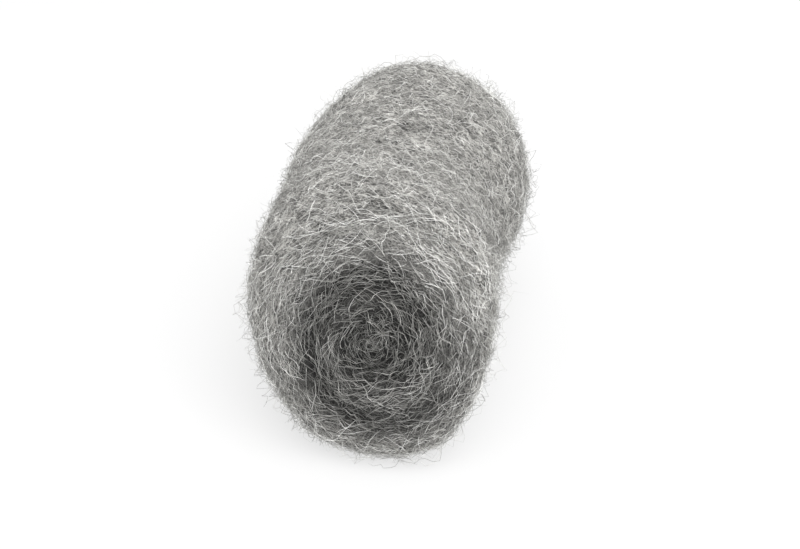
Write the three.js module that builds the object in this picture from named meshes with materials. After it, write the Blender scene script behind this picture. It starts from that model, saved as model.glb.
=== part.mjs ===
// A bundle of fine steel wool: one soft batt, rolled up into a short fat roll that lies on its side.
// Millimetres, +Z up. The roll's axis runs along Y, its front end faces -Y, and its flat spot is at Z = 0.
// Angles round the axis are seen from the front and run counter-clockwise from +X.
import * as THREE from "three";

// Driving dimensions
const ROLL_LENGTH = 92; // the batt's width, which is the roll's length at mid height
const FRONT_RADIUS = 28.2; // before the roll sags
const WAIST_RADIUS = 26.6;
const REAR_RADIUS = 29.4; // the fattest part, which sets the height of the axis
const BULGE_AT = 0.6; // where the two bulges reach full size, as a share of the half length
const BATT_THICKNESS = 11.5; // also the distance from one turn to the next
const CORE_RADIUS = 5.4; // the innermost turn, where the batt's inner edge lies
const INNER_EDGE_ANGLE = THREE.MathUtils.degToRad(-90);
const TAIL_ANGLE = THREE.MathUtils.degToRad(-40); // the batt's outer edge, low on the right
const TAIL_STEP = 2; // the outer edge is feathered, so its step is far less than the batt
const TAIL_WIDTH = 1 / 20; // the step's own width, as a share of a turn

// How far the soft ends are rounded, dished, grooved and slumped
const FRONT_SQUARENESS = 5.7; // exponent of the end's rounded profile: 2 is round, 10 is nearly square
const REAR_SQUARENESS = 4.6;
const GROOVE_DEPTH = 2; // between one turn's edge and the next
const GROOVE_SHARPNESS = 2; // 1 is as broad as the bead beside it, more is narrower
const GROOVE_STARTS = 0.2; // share of the core radius inside which the turns are closed up
const DISH_DEPTH = 2; // the middle turns stand back from the outer ones
const END_BEGINS = 0.78; // share of the half length from which the end's relief fades in
const END_FULL = 0.96;
const FRONT_SLUMP = 0.54; // slope of the front end: its foot reaches forward, its top leans back
const REAR_SLUMP = 0.24;
const SLUMP_POWER = 1.5; // how late along the roll the slump sets in
const FOOT_EASE = 0.5; // how much the slope eases off below the axis, so that the foot is blunt

// How the soft roll lies
const HEIGHT_SHARE = 0.99; // height of the section over its width
const SAG = 1.2; // how much of the underside is pressed flat
const BOW = 4.5; // how far the roll's middle stands to one side of its ends
const S_BEND = -1.7; // and how far its two ends differ in that

// Soft waves that wind round the side of the hand-rolled batt: how high each one is, how many
// of them go round the roll, how far they turn along half its length, and where they start.
const WAVES = [
  { height: 0.45, count: 3, turn: 2.4, start: 0.7 },
  { height: 0.35, count: 2, turn: -3.1, start: 2.3 },
  { height: 0.25, count: 5, turn: -4.6, start: 1.9 },
];

// Mesh
const END_RING_SPACING = 1.5; // fine enough for the grooves
const SIDE_RING_SPACING = 3.6;
const SECTORS = 66;
const OUTLINE_STEPS = 2000;

const HALF_LENGTH = ROLL_LENGTH / 2;
const AXIS_HEIGHT = HEIGHT_SHARE * REAR_RADIUS - SAG;
const TURN = 2 * Math.PI;
const ease = (from, to, x) => THREE.MathUtils.smoothstep(x, from, to);

// The roll's radius along its length, before the ends close in: a bulge near each end and a waist between.
// t runs from -1 at the front end to 1 at the rear end.
function bodyRadius(t) {
  const bulge = t < 0 ? FRONT_RADIUS : REAR_RADIUS;
  return THREE.MathUtils.lerp(WAIST_RADIUS, bulge, ease(0, BULGE_AT, Math.abs(t)));
}

// The roll's outline as a profile to turn, from the front pole to the rear pole, with two soft shoulders.
function outline() {
  const points = [];
  for (let i = 0; i <= OUTLINE_STEPS; i++) {
    const swing = (Math.PI * i) / OUTLINE_STEPS;
    const n = swing < Math.PI / 2 ? FRONT_SQUARENESS : REAR_SQUARENESS;
    const t = -Math.sign(Math.cos(swing)) * Math.abs(Math.cos(swing)) ** (2 / n);
    const onAxis = i % OUTLINE_STEPS === 0;
    const radius = onAxis ? 0 : bodyRadius(t) * Math.sin(swing) ** (2 / n);
    points.push(new THREE.Vector2(radius, t * HALF_LENGTH));
  }
  return points;
}

// The same profile with its points spaced for the mesh: close together on the ends, wider on the side.
function spacedOutline() {
  const fine = outline();
  const kept = [fine[0]];
  for (const point of fine) {
    const onEnd = Math.abs(point.y) > END_BEGINS * HALF_LENGTH;
    const spacing = onEnd ? END_RING_SPACING : SIDE_RING_SPACING;
    if (point.distanceTo(kept[kept.length - 1]) > spacing) {
      kept.push(point);
    }
  }
  kept[kept.length - 1] = fine[fine.length - 1];
  return kept;
}

// How far the outer turn stands above the mean radius: it climbs round the roll and drops at the tail.
function tailRise(angle) {
  const turns = (angle - TAIL_ANGLE) / TURN;
  const turn = turns - Math.floor(turns);
  const climbed = Math.min(turn / (1 - TAIL_WIDTH), (1 - turn) / TAIL_WIDTH);
  return TAIL_STEP * (climbed - 0.5);
}

// Height of the soft waves at a place on the side.
function unevenness(t, angle) {
  let sum = 0;
  for (const wave of WAVES) {
    sum += wave.height * Math.sin(wave.count * angle + wave.turn * t + wave.start);
  }
  return sum;
}

// Depth of the groove between the spiral turns, on an end.
function grooveDepth(radius, angle) {
  const turns = (radius - CORE_RADIUS) / BATT_THICKNESS - (angle - INNER_EDGE_ANGLE) / TURN;
  const between = 0.5 + 0.5 * Math.cos(TURN * turns); // 1 between two turns, 0 on top of a turn
  return GROOVE_DEPTH * between ** GROOVE_SHARPNESS * ease(GROOVE_STARTS, 1, radius / CORE_RADIUS);
}

// Sideways offset of the axis. Over the whole length the bow adds no shift and the S adds no slant.
function axisOffset(t) {
  return BOW * (t ** 2 - 1 / 3) + S_BEND * (t ** 3 - (3 / 5) * t);
}

// How far the slumped end leans back at a height above the axis, or forward below it.
function lean(t, height) {
  const slope = (t < 0 ? FRONT_SLUMP : REAR_SLUMP) * Math.abs(t) ** SLUMP_POWER;
  const eased = 1 + Math.min(0, (FOOT_EASE * height) / bodyRadius(t));
  return slope * height * eased;
}

// Moves one point of the turned blank to its place on the soft roll.
function settle(point) {
  const t = point.y / HALF_LENGTH;
  const blank = Math.hypot(point.x, point.z);
  const angle = Math.atan2(point.z, point.x);
  const share = Math.min(blank / bodyRadius(t), 1);

  const radius = blank + share ** 2 * (tailRise(angle) + unevenness(t, angle));
  const rise = HEIGHT_SHARE * radius * Math.sin(angle);
  const hang = rise < 0 ? REAR_RADIUS / bodyRadius(t) : 1; // the underside reaches the floor all along
  const height = Math.max(rise * hang, -AXIS_HEIGHT);

  const onEnd = ease(END_BEGINS, END_FULL, Math.abs(t)) * Math.sign(t);
  const inward = onEnd * (grooveDepth(blank, angle) + DISH_DEPTH * (1 - share ** 2));
  return new THREE.Vector3(
    radius * Math.cos(angle) + axisOffset(t),
    point.y - inward + lean(t, height),
    AXIS_HEIGHT + height,
  );
}

function woolRoll() {
  const geometry = new THREE.LatheGeometry(spacedOutline(), SECTORS);
  const places = geometry.getAttribute("position");
  const point = new THREE.Vector3();
  for (let i = 0; i < places.count; i++) {
    const placed = settle(point.fromBufferAttribute(places, i));
    places.setXYZ(i, placed.x, placed.y, placed.z);
  }
  // The origin is on the floor, under the middle of the roll.
  geometry.computeBoundingBox();
  const middle = geometry.boundingBox.getCenter(new THREE.Vector3());
  geometry.translate(-middle.x, -middle.y, -geometry.boundingBox.min.z);
  geometry.computeVertexNormals();

  const steelWool = new THREE.MeshStandardMaterial({
    color: 0x9b9a95,
    roughness: 0.6,
    metalness: 0.75,
  });
  const mesh = new THREE.Mesh(geometry, steelWool);
  mesh.name = "wool_roll";
  return mesh;
}

const bundle = new THREE.Group();
bundle.add(woolRoll());

export default bundle;
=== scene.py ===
import math

import bpy
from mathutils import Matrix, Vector


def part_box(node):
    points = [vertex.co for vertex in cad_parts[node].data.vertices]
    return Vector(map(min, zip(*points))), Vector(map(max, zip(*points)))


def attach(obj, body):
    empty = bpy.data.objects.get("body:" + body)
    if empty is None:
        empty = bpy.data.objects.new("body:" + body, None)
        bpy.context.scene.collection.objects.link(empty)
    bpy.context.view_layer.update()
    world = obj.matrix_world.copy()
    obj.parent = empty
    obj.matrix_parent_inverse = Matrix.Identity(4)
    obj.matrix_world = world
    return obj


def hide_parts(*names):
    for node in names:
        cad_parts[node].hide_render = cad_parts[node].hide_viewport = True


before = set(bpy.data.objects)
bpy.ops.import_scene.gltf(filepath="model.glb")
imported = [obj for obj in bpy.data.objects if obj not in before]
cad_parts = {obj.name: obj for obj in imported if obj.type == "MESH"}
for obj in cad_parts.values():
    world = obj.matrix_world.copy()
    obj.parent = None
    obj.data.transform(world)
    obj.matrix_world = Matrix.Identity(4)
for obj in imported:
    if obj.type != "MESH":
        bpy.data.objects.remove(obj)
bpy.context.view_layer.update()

# THE MAT
# A batt of fine steel wool, rolled up by hand into about two and a half turns. Under its loose top
# threads it is a dense dull mat, which stands here for every thread that is too deep to be told apart.
# The mat's dark tone between its thread lines is painted shade of that depth.
MM = 0.001
FAR_OFF = 1.0  # a metre, past everything here

# How the batt is rolled
roll_low, roll_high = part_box("wool_roll")
HALF_LENGTH = (roll_high.y - roll_low.y) / 2
ROLL_RADIUS = 28 * MM
AXIS_HEIGHT = 27.9 * MM
AXIS_MIDDLE_X = -0.9 * MM  # where the roll's bowed axis runs at mid length
AXIS_BOW = 4.6 * MM  # how much further to +X it runs at the ends
TURN_THICKNESS = 11.5 * MM  # from one turn of the batt to the next
INNER_TURN = 5.4 * MM  # radius at which the spiral starts
SPIRAL_START = -0.25  # straight below the axis, as a share of a turn

# Painted shade on the ends: most in the tight middle of each end, where hardly any light gets back out
HEART = 12.5 * MM
HEART_FADES = 24 * MM
HEART_DROP = 1.5 * MM  # the painted shade sits lower, as the light from above reaches further into its upper part
HEART_SPREAD = 0.7  # below 1 the painted shade reaches further out
MAT_IN_HEART = 0.02  # share of the light that the mat still gives back there, painted into its colour as shade
GROOVE_DARK = 1.15  # how dark the painted shade in the heart is in the grooves between two turns, where 1 is full
TURN_LIGHT = 0.24  # half of what the painted shade on the top of a turn is lighter by
FACING_STARTS = 0.35  # how squarely a face looks along the axis where it starts to count as the end
FACING_FULL = 0.85

# Tones of the mat, and the thread lines and broader bands that run along its turns
# The darkest tone is painted shade in the gaps between the thread lines
MAT_GAP_SHADE = (0.03, 0.0295, 0.028, 1)
MAT_LIGHT = (0.8, 0.785, 0.745, 1)
MOTTLE = 5 * MM  # size of the lighter and darker patches
MAT_MOTTLE = (0.85, 1.1)
LINE_LENGTH = 5 * MM
LINE_WIDTH = 0.9 * MM
LINE_SHARPNESS = 26.0
LINE_RELIEF = 0.3 * MM
LINE_SHARE = 0.62  # how much of the tone comes from the lines
LINE_SETS = ((0.0, 0.0), (0.6, 3.0), (-0.6, 5.0))  # slant off the turns, and place in the noise
BAND_LENGTH = 8 * MM
BAND_WIDTH = 1.6 * MM
BAND_SHARE = 0.5
BAND_SHIFT = -0.17
BAND_PLACE = 7.0  # its place in the noise

NOISE_STRETCH = 3.0  # noise keeps within about 1/6 of its middle, and this makes that about 1/2
FLOOR_GAP = 0.1 * MM  # the mat keeps this far above the floor
MERGE_GAP = 0.005 * MM  # corners of the solid's loose triangles that are this near are one


def add(tree, kind, settings=None, **inputs):
    """Adds a node with its settings. An input is a value or another node's output; x0 is input 0."""
    node = tree.nodes.new(kind)
    for name, value in (settings or {}).items():
        setattr(node, name, value)
    for name, value in inputs.items():
        if name[0] == "x" and name[1:].isdigit():
            socket = node.inputs[int(name[1:])]
        else:
            wanted = name.replace("_", " ")
            socket = next(s for s in node.inputs if s.name == wanted and not s.is_unavailable)
        if isinstance(value, bpy.types.NodeSocket):
            tree.links.new(value, socket)
        else:
            socket.default_value = value
    return node


def out(node, name=None):
    """A node's output by name, or its first one in use."""
    return next(s for s in node.outputs if not s.is_unavailable and name in (None, s.name))


def sums(tree):
    """Short forms for a tree's arithmetic: one for numbers and one for vectors."""

    def number(operation, *values, clamp=False):
        inputs = {f"x{i}": v for i, v in enumerate(values)}
        settings = {"operation": operation, "use_clamp": clamp}
        return out(add(tree, "ShaderNodeMath", settings, **inputs))

    def vector(operation, a, b=None, scale=None):
        inputs = {"x0": a}
        if b is not None:
            inputs["x1"] = b
        if scale is not None:
            inputs["Scale"] = scale
        return out(add(tree, "ShaderNodeVectorMath", {"operation": operation}, **inputs))

    return number, vector


def eased(tree, value, start, full, low=0.0, high=1.0):
    """Goes softly from low to high while a value goes from start to full."""
    ease = add(
        tree, "ShaderNodeMapRange", {"interpolation_type": "SMOOTHSTEP"},
        Value=value, From_Min=start, From_Max=full, To_Min=low, To_Max=high,
    )
    return out(ease)


def stored(tree, geometry, name, value, kind="FLOAT", domain="POINT"):
    """The geometry with a value kept on it by name."""
    settings = {"data_type": kind, "domain": domain}
    store = add(
        tree, "GeometryNodeStoreNamedAttribute", settings,
        Geometry=geometry, Name=name, Value=value,
    )
    return out(store)


def new_tree(name, numbers):
    """A geometry tree with a mesh input, named number inputs and a material, and its input node."""
    tree = bpy.data.node_groups.new(name, "GeometryNodeTree")
    tree.interface.new_socket("Mesh", in_out="INPUT", socket_type="NodeSocketGeometry")
    for label, value in numbers.items():
        kind = "NodeSocketInt" if isinstance(value, int) else "NodeSocketFloat"
        tree.interface.new_socket(label, in_out="INPUT", socket_type=kind).default_value = value
    tree.interface.new_socket("Material", in_out="INPUT", socket_type="NodeSocketMaterial")
    tree.interface.new_socket("Mesh", in_out="OUTPUT", socket_type="NodeSocketGeometry")
    return tree, add(tree, "NodeGroupInput")


def end_tree(tree, geometry, inputs):
    """Closes a tree with real geometry in the piece's material."""
    real = add(tree, "GeometryNodeRealizeInstances", Geometry=geometry)
    dressed = add(tree, "GeometryNodeSetMaterial", Geometry=out(real), Material=out(inputs, "Material"))
    add(tree, "NodeGroupOutput", Mesh=out(dressed))


def made_by(tree, name, mesh, material, **numbers):
    """The plain piece that a tree makes from a mesh."""
    start = bpy.data.objects.new(name + "_start", mesh)
    bpy.context.scene.collection.objects.link(start)
    modifier = start.modifiers.new("make", "NODES")
    modifier.node_group = tree
    values = {k.replace("_", " "): v for k, v in numbers.items()} | {"Material": material}
    for item in tree.interface.items_tree:
        if item.in_out == "INPUT" and item.name in values:
            modifier[item.identifier] = values[item.name]
    worked_out = start.evaluated_get(bpy.context.evaluated_depsgraph_get())
    made = bpy.data.meshes.new_from_object(worked_out)
    bpy.data.objects.remove(start)
    piece = bpy.data.objects.new(name, made)
    made.name = name
    bpy.context.scene.collection.objects.link(piece)
    return piece


def fresh_material(name):
    """A material with an empty node tree."""
    material = bpy.data.materials.new(name)
    material.use_nodes = True
    material.node_tree.nodes.clear()
    return material


def length_of(tree, arrow):
    """How long a vector is."""
    return out(add(tree, "ShaderNodeVectorMath", {"operation": "LENGTH"}, x0=arrow), "Value")


def off_axis(tree, place):
    """Where a place is from the roll's bowed axis, straight out from it, and how far out that is."""
    number, _ = sums(tree)
    split = add(tree, "ShaderNodeSeparateXYZ", Vector=place)
    t = number("DIVIDE", out(split, "Y"), HALF_LENGTH)
    axis_x = number("MULTIPLY_ADD", number("MULTIPLY", t, t), AXIS_BOW, AXIS_MIDDLE_X)
    x = number("SUBTRACT", out(split, "X"), axis_x)
    z = number("SUBTRACT", out(split, "Z"), AXIS_HEIGHT)
    radial = out(add(tree, "ShaderNodeCombineXYZ", X=x, Y=0.0, Z=z))
    return radial, length_of(tree, radial)


def mottled(tree, place, low, high):
    """A slow change of tone from patch to patch, about from low to high."""
    _, vector = sums(tree)
    noise = add(
        tree, "ShaderNodeTexNoise",
        Vector=vector("SCALE", place, scale=1 / MOTTLE), Scale=1.0, Detail=2.0, Roughness=0.6,
    )
    patch = add(
        tree, "ShaderNodeMapRange",
        Value=out(noise), From_Min=0.3, From_Max=0.7, To_Min=low, To_Max=high,
    )
    return out(patch)


def matted_steel():
    """Dull matted steel: fine lines of thread that run with the turns, and painted shade dark between
    them.
    """
    material = fresh_material("steel_mat")
    tree = material.node_tree
    number, vector = sums(tree)
    place = out(add(tree, "ShaderNodeTexCoord"), "Object")
    radial, radius = off_axis(tree, place)
    along_axis = out(add(tree, "ShaderNodeSeparateXYZ", Vector=place), "Y")
    outward = add(tree, "ShaderNodeSeparateXYZ", Vector=vector("NORMALIZE", radial))
    angle = number("ARCTAN2", out(outward, "X"), number("MULTIPLY", out(outward, "Z"), -1.0))

    def streaks(length, width, slant, noise_place):
        """Noise drawn out along the turns, or at a slant to them."""
        around = ROLL_RADIUS / length
        slanted = number("MULTIPLY_ADD", angle, ROLL_RADIUS * slant, along_axis)
        spot = add(
            tree, "ShaderNodeCombineXYZ",
            X=number("MULTIPLY", out(outward, "X"), around),
            Y=number("DIVIDE", slanted, width),
            Z=number("MULTIPLY", out(outward, "Z"), around),
        )
        depth = number("ADD", number("DIVIDE", radius, width), noise_place)
        noise = add(
            tree, "ShaderNodeTexNoise", {"noise_dimensions": "4D"},
            Vector=out(spot), W=depth, Scale=1.0, Detail=2.0, Roughness=0.5,
        )
        return out(noise)

    # The lines lie where the noise crosses its middle value
    lines = 0.0
    for slant, noise_place in LINE_SETS:
        streak = streaks(LINE_LENGTH, LINE_WIDTH, slant, noise_place)
        off_line = number("ABSOLUTE", number("SUBTRACT", streak, 0.5))
        line = number("SUBTRACT", 1.0, number("MULTIPLY", off_line, LINE_SHARPNESS), clamp=True)
        lines = number("MAXIMUM", lines, line)
    broad = streaks(BAND_LENGTH, BAND_WIDTH, 0.0, BAND_PLACE)
    bands = number("MULTIPLY_ADD", broad, BAND_SHARE, BAND_SHIFT)
    colour = add(
        tree, "ShaderNodeValToRGB", Fac=number("MULTIPLY_ADD", lines, LINE_SHARE, bands, clamp=True)
    )
    colour.color_ramp.elements[0].color = MAT_GAP_SHADE
    colour.color_ramp.elements[1].color = MAT_LIGHT

    # Painted shade on the ends: the shade stored on the mat darkens its colour, and the mottle varies it
    # from patch to patch
    painted_end_shade = out(add(tree, "ShaderNodeAttribute", {"attribute_name": "painted_end_shade"}), "Fac")
    open_to_light = number("MULTIPLY_ADD", number("POWER", painted_end_shade, HEART_SPREAD), MAT_IN_HEART - 1, 1.0)
    light = number("MULTIPLY", open_to_light, mottled(tree, place, *MAT_MOTTLE))
    bump = add(tree, "ShaderNodeBump", Height=lines, Strength=0.9, Distance=LINE_RELIEF)
    shader = add(
        tree, "ShaderNodeBsdfPrincipled",
        Base_Color=vector("SCALE", out(colour), scale=light),
        Metallic=0.4, Roughness=0.6, Normal=out(bump),
    )
    add(tree, "ShaderNodeOutputMaterial", Surface=out(shader))
    return material


def mat_tree():
    """Merges the roll's solid, rounds it and gives it tufts, a little inside the top threads."""
    numbers = {"Tuft Size": 3 * MM, "Tuft Height": 1 * MM, "Sink": 0.8 * MM, "Blend": 6}
    tree, inputs = new_tree("mat_the_roll", numbers)
    number, vector = sums(tree)
    merged = add(
        tree, "GeometryNodeMergeByDistance", Geometry=out(inputs, "Mesh"), Distance=MERGE_GAP
    )
    fine = add(tree, "GeometryNodeSubdivisionSurface", Mesh=out(merged), Level=1)
    smooth = add(tree, "GeometryNodeSetShadeSmooth", Geometry=out(fine), Shade_Smooth=True)
    place = out(add(tree, "GeometryNodeInputPosition"))
    normal = out(add(tree, "GeometryNodeInputNormal"))
    radial, radius = off_axis(tree, place)

    # The attribute stored here is painted shade, how dark each spot is: only on the two ends, most in the
    # heart, less on top of a turn
    faces_out = number("ABSOLUTE", out(add(tree, "ShaderNodeSeparateXYZ", Vector=normal), "Y"))
    on_end = eased(tree, faces_out, FACING_STARTS, FACING_FULL)
    from_heart = length_of(tree, vector("ADD", radial, (0.0, 0.0, HEART_DROP)))
    heart = eased(tree, from_heart, HEART, HEART_FADES, 1.0, 0.0)
    split = add(tree, "ShaderNodeSeparateXYZ", Vector=radial)
    angle = number("DIVIDE", number("ARCTAN2", out(split, "Z"), out(split, "X")), 2 * math.pi)
    wound = number("DIVIDE", number("SUBTRACT", radius, INNER_TURN), TURN_THICKNESS)
    turns = number("SUBTRACT", wound, number("SUBTRACT", angle, SPIRAL_START))
    between = number("COSINE", number("MULTIPLY", turns, 2 * math.pi))
    relief = eased(tree, radius, INNER_TURN, 2 * INNER_TURN, 0.0, TURN_LIGHT)
    turn_tops = number("MULTIPLY", number("SUBTRACT", between, 1.0), relief)
    dark = number("MULTIPLY", heart, number("ADD", turn_tops, GROOVE_DARK))
    blended = add(
        tree, "GeometryNodeBlurAttribute", {"data_type": "FLOAT"},
        Value=number("MULTIPLY", on_end, dark, clamp=True), Iterations=out(inputs, "Blend"),
    )
    ended = stored(tree, out(smooth), "painted_end_shade", out(blended))

    noise = add(
        tree, "ShaderNodeTexNoise",
        Vector=vector("SCALE", place, scale=number("DIVIDE", 1.0, out(inputs, "Tuft Size"))),
        Scale=1.0, Detail=2.0, Roughness=0.55,
    )
    tuft = number("MULTIPLY", number("SUBTRACT", out(noise), 0.5), out(inputs, "Tuft Height"))
    height = number("SUBTRACT", number("MULTIPLY", tuft, NOISE_STRETCH), out(inputs, "Sink"))
    tufted = vector("ADD", place, vector("SCALE", normal, scale=height))
    off_floor = vector("MAXIMUM", tufted, (-FAR_OFF, -FAR_OFF, FLOOR_GAP))
    moved = add(tree, "GeometryNodeSetPosition", Geometry=ended, Position=off_floor)
    end_tree(tree, out(moved), inputs)
    return tree


mat = made_by(mat_tree(), "roll_mat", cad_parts["wool_roll"].data, matted_steel())
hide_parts("wool_roll")
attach(mat, "root")

# THE SIDE THREADS
# Fine shaved strips of steel, tapered and bent. Round the side they lie in three layers, at a wide
# slant to the turns either way. Only their tangle with each other and with the mat holds them.
END_BEGINS = 34 * MM  # from mid length
END_LEAN = 0.4  # the soft ends lean back by about this much for each unit of height
THREADS_IN_HEART = 0.42  # share of the light that the threads still give back in the heart, painted into their tone as shade
MUDDLE = 9 * MM  # this near the axis the threads no longer keep to the turns
TANGLE = 1.6  # the most that they then turn aside, either way, in radians
PACE = (0.6, 1.25)  # a thread's steps and its thickness, as shares of the usual ones
GIRTH = (0.6, 1.4)
TAPER = 0.7  # how much thinner its two ends are
DIP_RATE = 0.35  # how soon it dips again, for each step
DIP_PLACE = 5000.0  # the dips' place in the noise, clear of the one that bends it
NOISE_APART = 17.37  # from one thread's place in the noise to the next one's
THREAD_MOTTLE = (0.9, 1.15)
THREAD_DARK = (0.05, 0.05, 0.047, 1)
THREAD_GREY = (0.55, 0.545, 0.52, 1)
THREAD_BRIGHT = (0.95, 0.945, 0.925, 1)
GREY_AT = 0.6
SIDES = 3  # of a thread's section
MAP_TONE = 0.97  # how much of the bake map's width the tones take, and then the sides
MAP_SIDE = 0.02
# What is left to chance for each thread, in the order of the seeds
CHANCES = ("slant", "pace", "back", "height", "loose", "girth", "bright", "tangle")

THREAD_NUMBERS = {
    "Density": 100000.0,  # threads that start on each square metre
    "Points": 6,
    "Step": 1.3 * MM,
    "From Y": -FAR_OFF,
    "To Y": FAR_OFF,
    "Slant": 1.2,  # most that it starts off the direction of the turns, either way, in radians
    "Wander": 5.0,  # how far it turns as it goes
    "Waver": 0.35,  # how soon it turns again, for each step
    "Low": -0.4 * MM,  # height over the mat
    "High": 0.6 * MM,
    "Weave": 0.8 * MM,  # how far it dips in and out
    "Spring": 0.5 * MM,  # how far its two ends stand off
    "Radius": 0.04 * MM,
    "Dull": 0.0,  # tones run from Dull to Bright
    "Bright": 1.0,
    "Seed": 1,
}


def bare_steel():
    """Bare steel thread. Each one has its own tone, from dull grey to bright."""
    material = fresh_material("steel_thread")
    tree = material.node_tree
    tone = add(tree, "ShaderNodeAttribute", {"attribute_name": "tone"})
    colour = add(tree, "ShaderNodeValToRGB", Fac=out(tone, "Fac"))
    colour.color_ramp.elements[0].color = THREAD_DARK
    colour.color_ramp.elements[1].color = THREAD_BRIGHT
    colour.color_ramp.elements.new(GREY_AT).color = THREAD_GREY
    shader = add(
        tree, "ShaderNodeBsdfPrincipled", Base_Color=out(colour), Metallic=0.7, Roughness=0.5
    )
    add(tree, "ShaderNodeOutputMaterial", Surface=out(shader))
    return material


def thread_tree():
    """Starts threads on a mesh, walks each one over its surface step by step, and makes them solid."""
    tree, inputs = new_tree("lay_threads", THREAD_NUMBERS)
    number, vector = sums(tree)
    given = {label: out(inputs, label) for label in THREAD_NUMBERS}
    roll = out(inputs, "Mesh")

    def own(name, kind="FLOAT"):
        """A value kept by name on the threads or the mat."""
        return out(add(tree, "GeometryNodeInputNamedAttribute", {"data_type": kind}, Name=name))

    thread = own("thread", "INT")
    step = own("step", "INT")

    def chance(what, low, high):
        """A random number of its own for each thread."""
        seed = number("ADD", given["Seed"], 1 + CHANCES.index(what))
        settings = {"data_type": "FLOAT"}
        return out(add(tree, "FunctionNodeRandomValue", settings, Min=low, Max=high, ID=thread, Seed=seed))

    def drift(along):
        """A slow random change along each thread, about 0."""
        w = number("MULTIPLY_ADD", thread, NOISE_APART, along)
        noise = add(tree, "ShaderNodeTexNoise", {"noise_dimensions": "1D"}, W=w, Scale=1.0, Detail=1.0)
        return number("SUBTRACT", out(noise), 0.5)

    def on_roll(value, spot, kind="FLOAT_VECTOR"):
        """A value at the nearest place on the mat."""
        settings = {"data_type": kind}
        nearest = add(
            tree, "GeometryNodeSampleNearestSurface", settings,
            Mesh=roll, Value=value, Sample_Position=spot,
        )
        return out(nearest, "Value")

    place = out(add(tree, "GeometryNodeInputPosition"))
    normal = out(add(tree, "GeometryNodeInputNormal"))
    index = out(add(tree, "GeometryNodeInputIndex"))

    # Where the threads start, between two planes that lean back with the ends
    split = add(tree, "ShaderNodeSeparateXYZ", Vector=place)
    leans_back = number("MULTIPLY", number("SUBTRACT", out(split, "Z"), AXIS_HEIGHT), END_LEAN)
    y = number("SUBTRACT", out(split, "Y"), leans_back)
    behind = number("GREATER_THAN", y, given["From Y"])
    before = number("LESS_THAN", y, given["To Y"])
    starts = add(
        tree, "GeometryNodeDistributePointsOnFaces", {"distribute_method": "RANDOM"},
        Mesh=roll, Selection=number("MULTIPLY", behind, before),
        Density=given["Density"], Seed=given["Seed"],
    )
    numbered = stored(tree, out(starts, "Points"), "thread", index, "INT")
    copied = add(
        tree, "GeometryNodeDuplicateElements", {"domain": "POINT"},
        Geometry=numbered, Amount=given["Points"],
    )
    counted = stored(tree, out(copied, "Geometry"), "step", out(copied, "Duplicate Index"), "INT")

    # Each round of the walk moves every point that has further to go by one step
    walk = tree.nodes.new("GeometryNodeRepeatInput")
    walked = tree.nodes.new("GeometryNodeRepeatOutput")
    walk.pair_with_output(walked)
    tree.links.new(counted, walk.inputs["Geometry"])
    tree.links.new(given["Points"], walk.inputs["Iterations"])
    rounds = out(walk, "Iteration")
    up = on_roll(normal, place)
    radial, radius = off_axis(tree, place)
    turning = vector("CROSS_PRODUCT", (0.0, 1.0, 0.0), radial)
    across = vector("NORMALIZE", vector("CROSS_PRODUCT", up, turning))
    along = vector("CROSS_PRODUCT", across, up)
    turned = number("MULTIPLY", drift(number("MULTIPLY", rounds, given["Waver"])), given["Wander"])
    back = number("MULTIPLY", number("GREATER_THAN", chance("back", 0.0, 1.0), 0.5), math.pi)
    slant = chance("slant", number("MULTIPLY", given["Slant"], -1.0), given["Slant"])
    muddle = number("SUBTRACT", 1.0, number("DIVIDE", radius, MUDDLE), clamp=True)
    tangled = number("MULTIPLY", muddle, chance("tangle", -TANGLE, TANGLE))
    angle = number("ADD", number("ADD", slant, back), number("ADD", turned, tangled))
    ahead = vector("SCALE", along, scale=number("COSINE", angle))
    aside = vector("SCALE", across, scale=number("SINE", angle))
    pace = number("MULTIPLY", given["Step"], chance("pace", *PACE))
    onward = vector("ADD", place, vector("SCALE", vector("ADD", ahead, aside), scale=pace))
    advanced = add(
        tree, "GeometryNodeSetPosition",
        Geometry=out(walk, "Geometry"), Selection=number("GREATER_THAN", step, rounds),
        Position=on_roll(place, onward),
    )
    tree.links.new(out(advanced), walked.inputs["Geometry"])

    # Each thread becomes a stiff curve that bridges small hollows, dips in and out, and lifts at its ends
    curves = add(
        tree, "GeometryNodePointsToCurves",
        Points=out(walked, "Geometry"), Curve_Group_ID=thread, Weight=step,
    )
    stiffened = add(
        tree, "GeometryNodeBlurAttribute", {"data_type": "FLOAT_VECTOR"}, Value=place, Iterations=2
    )
    bridging = add(tree, "GeometryNodeSetPosition", Geometry=out(curves), Position=out(stiffened))
    share = number("DIVIDE", step, number("SUBTRACT", given["Points"], 1.0))
    from_middle = number("ABSOLUTE", number("MULTIPLY_ADD", share, 2.0, -1.0))
    near_tip = number("POWER", from_middle, 4.0)
    loose = number("MULTIPLY", near_tip, number("POWER", chance("loose", 0.0, 1.0), 2.0))
    height = chance("height", given["Low"], given["High"])
    lift = number("ADD", height, number("MULTIPLY", loose, given["Spring"]))
    dipping = drift(number("MULTIPLY_ADD", step, DIP_RATE, DIP_PLACE))
    dip = number("MULTIPLY", number("MULTIPLY", dipping, NOISE_STRETCH), given["Weave"])
    outward = vector("SCALE", on_roll(normal, place), scale=number("ADD", lift, dip))
    lowest = out(add(tree, "ShaderNodeCombineXYZ", X=-FAR_OFF, Y=-FAR_OFF, Z=given["Radius"]))
    off_floor = vector("MAXIMUM", vector("ADD", place, outward), lowest)
    lifted = add(tree, "GeometryNodeSetPosition", Geometry=out(bridging), Position=off_floor)

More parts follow.
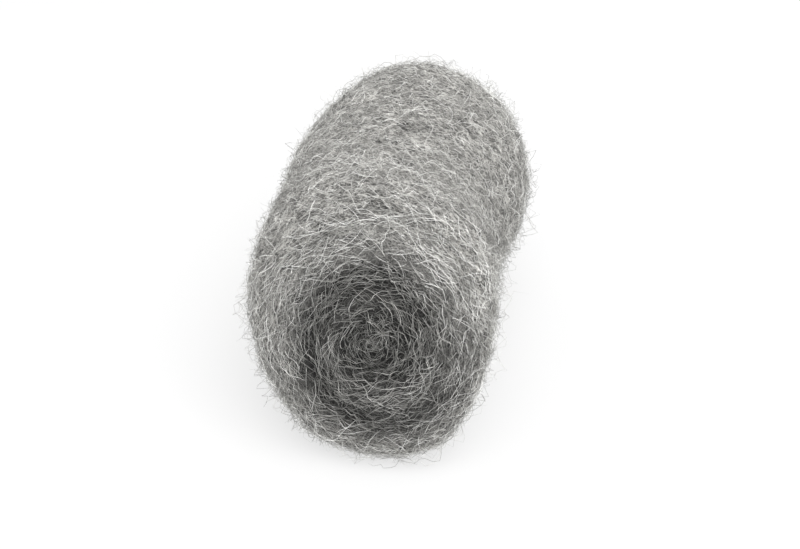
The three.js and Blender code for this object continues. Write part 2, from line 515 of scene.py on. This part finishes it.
    # Its tone, with painted shade darker in the heart as on the mat
    painted_shade_factor = number("MULTIPLY_ADD", on_roll(own("painted_end_shade"), place, "FLOAT"), THREADS_IN_HEART - 1, 1.0)
    brighter = number("POWER", chance("bright", 0.0, 1.0), 2.0)
    spread = number("MULTIPLY", brighter, number("SUBTRACT", given["Bright"], given["Dull"]))
    patches = mottled(tree, place, *THREAD_MOTTLE)
    patchy = number("MULTIPLY", number("ADD", given["Dull"], spread), patches)
    toned = stored(tree, out(lifted), "tone", number("MULTIPLY", patchy, painted_shade_factor, clamp=True))
    marked = stored(tree, toned, "share", share)

    # A three-sided section makes it solid
    section = add(
        tree, "GeometryNodeCurvePrimitiveCircle", {"mode": "RADIUS"}, Resolution=SIDES, Radius=1.0
    )
    sided = stored(tree, out(section), "side", number("DIVIDE", index, float(SIDES)))
    thinned = number("MULTIPLY", number("POWER", from_middle, 6.0), TAPER)
    girth = number("MULTIPLY", given["Radius"], chance("girth", *GIRTH))
    solid = add(
        tree, "GeometryNodeCurveToMesh",
        Curve=marked, Profile_Curve=sided,
        Scale=number("MULTIPLY", girth, number("SUBTRACT", 1.0, thinned)), Fill_Caps=True,
    )
    smooth = add(tree, "GeometryNodeSetShadeSmooth", Geometry=out(solid), Shade_Smooth=True)

    # Its bake map: across by tone and then by side, and up along the thread
    u = number("MULTIPLY_ADD", own("side"), MAP_SIDE, number("MULTIPLY", own("tone"), MAP_TONE))
    spot = add(tree, "ShaderNodeCombineXYZ", X=u, Y=own("share"), Z=0.0)
    mapped = stored(tree, out(smooth), "OFBake", out(spot), "FLOAT2", "CORNER")
    end_tree(tree, mapped, inputs)
    return tree


threads = thread_tree()
steel = bare_steel()


def lay_threads(name, **numbers):
    """Makes one piece of threads on the mat, and fixes it to the roll."""
    piece = made_by(threads, name, mat.data, steel, **numbers)
    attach(piece, "root")


SIDE = {"From_Y": -END_BEGINS, "To_Y": END_BEGINS}
lay_threads(
    "side_threads_under", **SIDE, Density=425000.0,
    Low=-0.5 * MM, High=0.3 * MM, Dull=0.12, Bright=0.95, Seed=11,
)
lay_threads(
    "side_threads_middle", **SIDE, Density=425000.0,
    Low=-0.1 * MM, High=0.7 * MM, Dull=0.15, Bright=1.1, Seed=12,
)
lay_threads(
    "side_threads_top", **SIDE, Density=240000.0, Points=7, Slant=1.3,
    Low=0.1 * MM, High=1.1 * MM, Weave=1.0 * MM, Spring=1.5 * MM, Dull=0.2, Bright=1.05, Seed=13,
)

# THE END THREADS
# The same steel strips where the batt's edges show as a spiral. They follow the turns more closely
# there. The near end has a darker layer under a brighter one, and the far end has one layer.
NEAR_END = {"From_Y": -FAR_OFF, "To_Y": -END_BEGINS, "Points": 8}
FAR_END = {"From_Y": END_BEGINS, "To_Y": FAR_OFF, "Points": 10}
lay_threads(
    "near_end_under", **NEAR_END, Density=1150000.0, Slant=0.5, Wander=3.0,
    Low=-0.6 * MM, High=0.3 * MM, Dull=0.06, Bright=1.1, Seed=14,
)
lay_threads(
    "near_end_top", **NEAR_END, Density=800000.0, Slant=0.8, Wander=4.0,
    Low=0.0, High=1.0 * MM, Weave=1.0 * MM, Spring=1.5 * MM, Dull=0.22, Bright=1.6, Seed=18,
)
# The far end's threads get brighter tones: painted light that makes up for the less light reaching that
# end.
lay_threads(
    "far_end_threads", **FAR_END, Density=500000.0, Slant=0.7,
    Low=-0.5 * MM, High=1.0 * MM, Weave=1.0 * MM, Spring=1.5 * MM, Dull=0.35, Bright=1.5, Seed=15,
)

# THE LOOSE HAIRS
# Finer strips and longer ones that have worked free all over the roll. The hairs stand off it and end
# in the air, and the loops curl out of it and back in.
lay_threads(
    "stray_hairs", Density=65000.0, Points=11, Step=1.5 * MM, Slant=1.4, Wander=9.0, Waver=0.3,
    Low=0.0, High=2.1 * MM, Weave=1.9 * MM, Spring=1.5 * MM, Radius=0.032 * MM,
    Dull=0.3, Bright=0.9, Seed=16,
)
lay_threads(
    "loose_loops", Density=11000.0, Points=24, Step=1.5 * MM, Slant=1.0, Wander=8.0, Waver=0.15,
    Low=0.5 * MM, High=3.0 * MM, Weave=2.4 * MM, Spring=4.0 * MM, Dull=0.3, Bright=1.1, Seed=17,
)

# THE STAGE
# A pale sweep of paper under one large soft light from above. The camera looks down on the near end,
# from a little to the right of the roll's axis.
FLOOR_HALF = 3.0
PAPER_GLOW = 0.66
SKY_STRENGTH = 1.31
LIGHT_PLACE = Vector((0.2, -0.3, 0.62))
LIGHT_AIM = Vector((0.0, 0.0, 0.03))
LIGHT_SIZE = 0.7
LIGHT_POWER = 6.8
AIM = Vector((0.5, 6.5, 15.0)) * MM
ELEVATION = math.radians(31.8)
AZIMUTH = math.radians(8.65)
DISTANCE = 359 * MM

corners = [(x * FLOOR_HALF, y * FLOOR_HALF, 0) for x, y in ((-1, -1), (1, -1), (1, 1), (-1, 1))]
floor_mesh = bpy.data.meshes.new("floor")
floor_mesh.from_pydata(corners, [], [(0, 1, 2, 3)])
floor = bpy.data.objects.new("floor", floor_mesh)
bpy.context.scene.collection.objects.link(floor)
paper = bpy.data.materials.new("white_paper")
paper.use_nodes = True
paper_shader = paper.node_tree.nodes["Principled BSDF"]
paper_shader.inputs["Base Color"].default_value = (0.16, 0.16, 0.16, 1)
paper_shader.inputs["Roughness"].default_value = 0.9
paper_shader.inputs["Emission Color"].default_value = (1, 1, 1, 1)
paper_shader.inputs["Emission Strength"].default_value = PAPER_GLOW
floor_mesh.materials.append(paper)

world = bpy.data.worlds.new("studio")
world.use_nodes = True
world.node_tree.nodes["Background"].inputs["Color"].default_value = (1, 1, 1, 1)
world.node_tree.nodes["Background"].inputs["Strength"].default_value = SKY_STRENGTH
bpy.context.scene.world = world

lamp = bpy.data.lights.new("top_light", "AREA")
lamp.shape = "SQUARE"
lamp.size = LIGHT_SIZE
lamp.energy = LIGHT_POWER
softbox = bpy.data.objects.new("top_light", lamp)
softbox.location = LIGHT_PLACE
softbox.rotation_euler = (LIGHT_AIM - LIGHT_PLACE).to_track_quat("-Z", "Y").to_euler()
bpy.context.scene.collection.objects.link(softbox)

to_camera = Vector((
    math.sin(AZIMUTH) * math.cos(ELEVATION),
    -math.cos(AZIMUTH) * math.cos(ELEVATION),
    math.sin(ELEVATION),
))
camera_data = bpy.data.cameras.new("camera")
camera_data.lens = 67.5
camera_data.sensor_width = 36.0
camera_data.clip_start = 0.01
camera = bpy.data.objects.new("camera", camera_data)
camera.location = AIM + to_camera * DISTANCE
camera.rotation_euler = (-to_camera).to_track_quat("-Z", "Y").to_euler()
bpy.context.scene.collection.objects.link(camera)
bpy.context.scene.camera = camera
bpy.context.scene.view_settings.view_transform = "Standard"
